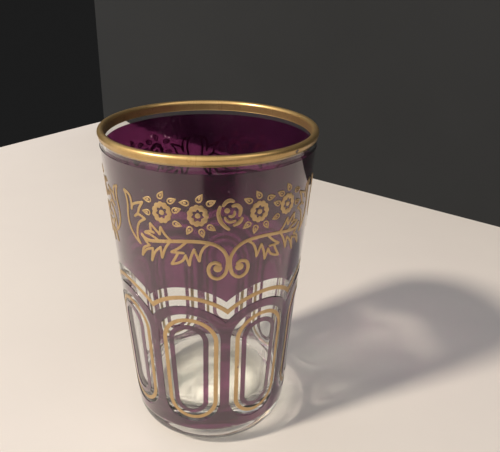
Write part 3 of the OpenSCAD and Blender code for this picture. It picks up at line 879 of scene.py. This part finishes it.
def blossom(middle, number):
    """The lobed ring, r = R (1 - depth (1 - |cos(lobes a / 2)|)) outside and a star of zigzag radius inside, and
    its dot."""
    a = BLOSSOM_TURN + np.pi / 2
    tall = BLOSSOM_H / BLOSSOM_W
    outer_r = BLOSSOM_W / 2 * (1 - LOBE_DEPTH * (1 - np.abs(np.cos(BLOSSOM_LOBES * a / 2))))
    zigzag = np.abs((BLOSSOM_TURN * STAR_POINTS / np.pi) % 2 - 1)
    star_r = STAR_R * (1 - STAR_DIP * (1 - zigzag))
    ring = print_between(
        ellipse_points(middle, star_r, a, tall), ellipse_points(middle, outer_r, a, tall), number, RIDGE, True
    )
    return [ring, print_spot(middle, ellipse_points(middle, EYE_R, DROP_TURN, 1), number)]


def drop_points(foot, direction, start, length, width, side):
    """A drop that begins at start along a direction: (l (1 + cos t) / 2, w sin t sin(t / 2) / 2 peak), turned."""
    t = DROP_TURN
    along = start + length / 2 * (1 + np.cos(t))
    aside = width / 2 * np.sin(t) * np.sin(t / 2) / DROP_PEAK
    c, s = np.cos(direction), np.sin(direction)
    return np.stack([side * (foot[0] + along * c - aside * s), foot[1] + along * s + aside * c], axis=-1)


def leaflet(foot, degrees, number, side):
    """The outline between two drops, and the seed inside them."""
    place = (foot, np.radians(degrees))
    outer = drop_points(*place, 0, LEAFLET_L, LEAFLET_W, side)
    inner = drop_points(
        *place, LEAFLET_LINE, LEAFLET_L - 3 * LEAFLET_LINE, LEAFLET_W - 2 * LEAFLET_LINE, side
    )
    seed = drop_points(*place, 2 * LEAFLET_LINE, SEED_L, SEED_W, side)
    return [print_between(inner, outer, number, RIDGE, True), print_spot(seed.mean(0), seed, number)]


# %% The garlands
VINE_W = 0.9
SCROLL_EYE_R = 1.05
PETAL_W = 1.0
INNER_PETAL_W = 0.7
PETAL_TAPER = 0.3
HEART_R = 0.65


def garland_prints(number):
    """The prints of one garland by the name of their layer."""
    eyes = [SCROLL_EYE, (-SCROLL_EYE[0], SCROLL_EYE[1])]
    flowers = BLOSSOMS + [(-x, y) for x, y in BLOSSOMS]
    petals = [print_line(p, number, PETAL_W, PETAL_TAPER, ROUNDED) for p in ROSE_PETALS]
    inner_petals = [print_line(p, number, INNER_PETAL_W, PETAL_TAPER, ROUNDED) for p in ROSE_INNER_PETALS]
    heart = print_spot(ROSE_HEART, ellipse_points(ROSE_HEART, HEART_R, DROP_TURN, 1), number)
    discs = [print_spot(eye, ellipse_points(eye, SCROLL_EYE_R, DROP_TURN, 1), number) for eye in eyes]
    return {
        "vine": [print_line(p, number, VINE_W) for p in mirrored_lines([VINE])] + discs,
        "leaves": [print_line(p, number, LEAF_W) for p in mirrored_lines(VINE_LEAVES)],
        "end_leaves": [print_line(p, number, LEAF_W) for p in mirrored_lines(END_LEAF)],
        "rose": petals + inner_petals + [heart],
        "blossoms": [part for middle in flowers for part in blossom(middle, number)],
        "leaflets": [part for side in (1, -1) for p in LEAFLETS for part in leaflet(*p, number, side)],
    }


for number in range(1, GARLANDS + 1):
    for layer, prints in garland_prints(number).items():
        printed = mesh_piece(f"gold_{layer}_{number}", prints)
        finish_piece(printed, PRINT_GOLD, "bright_gold", f"garland_{number}_{layer}")

# %% [markdown]
# The stage is a pale table and a dark board that stands behind it. They are there because glass shows what is
# round it: the table makes the grey veil on the coat, and the board the dark inside. On the table lies painted
# shade that only mirror rays see: a dark place in front of the glass and a dimmer place round it, which the coat,
# glass and gold mirror as a darker table. Each starts at a distance from the glass and lies between two bearings.
# %% The table
TABLE_LEFT_EDGE = ((-108.5, 298.2), (-40.6, 360.6))
TABLE_RUN_ON = (0.9, 0.5)
TABLE_CORNERS = ((1.0, 0.6), (1.0, -0.9), (-0.9, -0.9))
TABLE_T = 0.03
TABLE_TOP = -0.1 * MM
TABLE_PALE = (0.81, 0.73, 0.645)
TABLE_CLOUDED = (0.79, 0.71, 0.63)
# Painted shade for mirror rays only: a dimmer place and a dark place on the table in front of the glass.
PAINTED_DIM_SHADE = (0.54, 0.48, 0.43)
PAINTED_DIM_PLACE = ((0.090, 0.140), (-1.9, -1.0), (1.5, 0.7))
PAINTED_DARK_SHADE = (0.078, 0.073, 0.070)
PAINTED_DARK_PLACE = ((0.140, 0.172), (-0.36, -0.20), (0.60, 0.15))


def mirror_place(tree, coordinates, ahead_from, left, right):
    """1 for mirror rays in a place on the table, which fades in between two distances in front of the glass and
    between two bearings x / distance on either side."""
    place = add_node(tree, "ShaderNodeSeparateXYZ")
    join(tree, coordinates, "Object", place, 0)
    ahead = maths(tree, "MULTIPLY", (place, "Y"), -1)
    bearing = maths(tree, "DIVIDE", (place, "X"), ahead)
    seen = add_node(tree, "ShaderNodeLightPath"), "Is Glossy Ray"
    for value, between in ((ahead, ahead_from), (bearing, left), (bearing, right)):
        seen = maths(tree, "MULTIPLY", seen, remap(tree, value, between, kind="SMOOTHSTEP"))
    return seen


def table_top():
    """Pale table: faint clouding and grain, and painted shade, dim and dark, in front that only mirror rays see."""
    material, tree, coordinates, shader = new_material("pale table")
    clouds = place_group(tree, CLOUDING, coordinates, Scale=18)
    pale = mix_colours(tree, TABLE_PALE, TABLE_CLOUDED, (clouds, "Cloud"))
    # Painted shade that only mirror rays see, darkening the table where the coat, glass and gold mirror it.
    painted_dim = mix_colours(tree, pale, PAINTED_DIM_SHADE, mirror_place(tree, coordinates, *PAINTED_DIM_PLACE))
    painted_dark = mix_colours(tree, painted_dim, PAINTED_DARK_SHADE, mirror_place(tree, coordinates, *PAINTED_DARK_PLACE))
    join(tree, painted_dark, 2, shader, "Base Color")
    join(tree, *remap(tree, (clouds, "Grain"), into=(0.7, 0.8)), shader, "Roughness")
    set_inputs(shader, Specular_IOR_Level=0.2)
    return material


def slab(name, outline, low, high, material):
    """A stage board with a straight-sided outline, between two heights."""
    corners = np.array(outline)
    rows = [np.column_stack([corners, np.full(len(corners), z)]) for z in (low, high)]
    count = len(corners)
    sides = grid_quads(2, count, False, True).tolist()
    board = mesh_object(name, np.concatenate(rows), sides + [range(count), range(count, 2 * count)])
    board.data.materials.append(material)
    print(f"{name}: {count} corners, {low:.4f} to {high:.4f} m high")


left_a, left_b = np.array(TABLE_LEFT_EDGE) * MM
left_way = (left_b - left_a) / np.linalg.norm(left_b - left_a)
left_edge = [left_a - left_way * TABLE_RUN_ON[0], left_b + left_way * TABLE_RUN_ON[1]]
slab("pale_table", [*left_edge, *TABLE_CORNERS], -TABLE_T, TABLE_TOP, table_top())

# %% The dark board behind it
BOARD_LEFT = np.array([-34.5, 354.8]) * MM
BOARD_RIGHT = np.array([173.4, 105.5]) * MM
BOARD_RUN_ON = 0.5
BOARD_T = 0.01
BOARD_H = 0.6
CHARCOAL = (0.0230, 0.0236, 0.0236)
CHARCOAL_CLOUDED = (0.0198, 0.0204, 0.0204)


def dark_cloth():
    """Charcoal cloth with a faint clouding."""
    material, tree, coordinates, shader = new_material("charcoal board")
    clouds = place_group(tree, CLOUDING, coordinates, Scale=9)
    join(tree, mix_colours(tree, CHARCOAL, CHARCOAL_CLOUDED, (clouds, "Cloud")), 2, shader, "Base Color")
    set_inputs(shader, Roughness=0.9, Specular_IOR_Level=0.2)
    return material


board_way = (BOARD_RIGHT - BOARD_LEFT) / np.linalg.norm(BOARD_RIGHT - BOARD_LEFT)
board_back = np.array([-board_way[1], board_way[0]]) * BOARD_T
board_end = BOARD_RIGHT + board_way * BOARD_RUN_ON
board_outline = [BOARD_LEFT, board_end, board_end + board_back, BOARD_LEFT + board_back]
slab("dark_board", board_outline, TABLE_TOP, BOARD_H, dark_cloth())

# %% [markdown]
# The world lights the scene softly from all round. What the camera, mirrors and glass see of it is a dim room
# instead: charcoal at the horizon behind the glass, pale overhead and in front, and brightest towards the lamp and
# in one place high on the right, so the metal keeps dark edges beside broad highlights, and the backdrop stays
# dark. Each pale place has its direction, the range of closeness to it in which it fades in, and its colour.
# %% The room
FILL = (0.49, 0.50, 0.57)
ROOM_DARK = (0.012, 0.012, 0.012)
ROOM_ABOVE = (0.62, 0.60, 0.56)
ROOM_RISE = (0.15, 0.95)
PALE_PLACES = {
    "in front": ((-0.72, -0.69, 0), (0.0, 0.7), (1.25, 1.18, 1.08)),
    "round the lamp": ((-0.708, -0.234, 0.666), (0.72, 0.97), (1.5, 1.4, 1.2)),
    "high on the right": ((0.50, -0.25, 0.83), (0.90, 0.98), (2.4, 2.2, 1.9)),
}


def room_world():
    """Plain fill for lit surfaces, and a dim room for rays that see it."""
    world = bpy.data.worlds.new("dim room")
    world.use_nodes = True
    tree = world.node_tree
    tree.nodes.clear()
    way = add_node(tree, "ShaderNodeTexCoord")
    parts = add_node(tree, "ShaderNodeSeparateXYZ")
    path = add_node(tree, "ShaderNodeLightPath")
    light = add_node(tree, "ShaderNodeBackground")
    output = add_node(tree, "ShaderNodeOutputWorld")
    join(tree, way, "Generated", parts, 0)
    room = mix_colours(tree, ROOM_DARK, ROOM_ABOVE, remap(tree, (parts, "Z"), ROOM_RISE))
    for towards, between, colour in PALE_PLACES.values():
        facing = add_node(tree, "ShaderNodeVectorMath", {"operation": "DOT_PRODUCT"})
        facing.inputs[1].default_value = towards
        join(tree, way, "Generated", facing, 0)
        room = mix_colours(tree, room, colour, remap(tree, (facing, "Value"), between))
    sharp = maths(tree, "MAXIMUM", (path, "Is Camera Ray"), (path, "Is Glossy Ray"))
    seen = maths(tree, "MAXIMUM", sharp, (path, "Is Transmission Ray"))
    direct = maths(tree, "LESS_THAN", (path, "Diffuse Depth"), 0.5)
    join(tree, mix_colours(tree, FILL, room, maths(tree, "MULTIPLY", seen, direct)), 2, light, "Color")
    join(tree, light, "Background", output, "Surface")
    return world


bpy.context.scene.world = room_world()
bpy.context.scene.view_settings.view_transform = "Standard"
print("room: dark, paler overhead and", ", ".join(PALE_PLACES))

# %% [markdown]
# One lamp high on the left throws the long soft shadow to the right. Its place follows from that shadow: the rim's
# shadow lies about a hundred millimetres to the right of the glass, so the lamp stands the other way, as much
# higher as it is further.
# %% The lamp
RIM_SHADOW = (0.100, 0.033)
LAMP_H = 1.1
LAMP_SIZE = 0.18
LAMP_WATTS = 24
LAMP_COLOUR = (1.0, 0.95, 0.85)


def aim(spot, target):
    """Turns a lamp so that it shines from its place towards a target."""
    way = Vector(target) - spot.location
    spot.rotation_euler = way.to_track_quat("-Z", "Y").to_euler()


away = (LAMP_H - GLASS_H) / GLASS_H
lamp_data = bpy.data.lights.new("soft lamp", "AREA")
lamp_data.shape = "DISK"
lamp_data.size = LAMP_SIZE
lamp_data.energy = LAMP_WATTS
lamp_data.color = LAMP_COLOUR
lamp = bpy.data.objects.new("soft_lamp", lamp_data)
bpy.context.scene.collection.objects.link(lamp)
lamp.location = (-RIM_SHADOW[0] * away, -RIM_SHADOW[1] * away, LAMP_H)
aim(lamp, (0, 0, GLASS_H / 2))
lamp.visible_transmission = False
print("lamp at", [round(v, 3) for v in lamp.location])

# %% [markdown]
# The camera stands close, above the rim and a little left of the bar that faces it. Its place and turn were found
# by fitting the glass's own rim, foot and windows to the picture.
# %% The camera
EYE_AWAY = 154.7 * MM
EYE_UP = 130.18 * MM
EYE_AZIMUTH = np.radians(8.656)
YAW = np.radians(12.821)
PITCH_DOWN = np.radians(24.161)
ROLL = np.radians(1.183)
PICTURE_W = 500
FOCAL_PIXELS = 600.66
SENSOR_W = 36.0


def camera_axes():
    """Right, up and back of a camera that looks along its yaw and pitch and is rolled about that line."""
    forward = np.array([np.sin(YAW) * np.cos(PITCH_DOWN), np.cos(YAW) * np.cos(PITCH_DOWN), -np.sin(PITCH_DOWN)])
    right = np.array([np.cos(YAW), -np.sin(YAW), 0])
    up = np.cross(right, forward)
    return np.cos(ROLL) * right + np.sin(ROLL) * up, np.cos(ROLL) * up - np.sin(ROLL) * right, -forward


camera_data = bpy.data.cameras.new("camera")
camera_data.sensor_width = SENSOR_W
camera_data.lens = SENSOR_W * FOCAL_PIXELS / PICTURE_W
camera_data.clip_start = 1 * MM
camera = bpy.data.objects.new("camera", camera_data)
bpy.context.scene.collection.objects.link(camera)
eye = (-EYE_AWAY * np.sin(EYE_AZIMUTH), -EYE_AWAY * np.cos(EYE_AZIMUTH), EYE_UP)
camera_pose = np.eye(4)
camera_pose[:3, :3] = np.stack(camera_axes(), axis=-1)
camera_pose[:3, 3] = eye
camera.matrix_world = camera_pose.T.tolist()
bpy.context.scene.camera = camera
print(f"camera: lens {camera_data.lens:.2f} mm at", np.round(eye, 4))
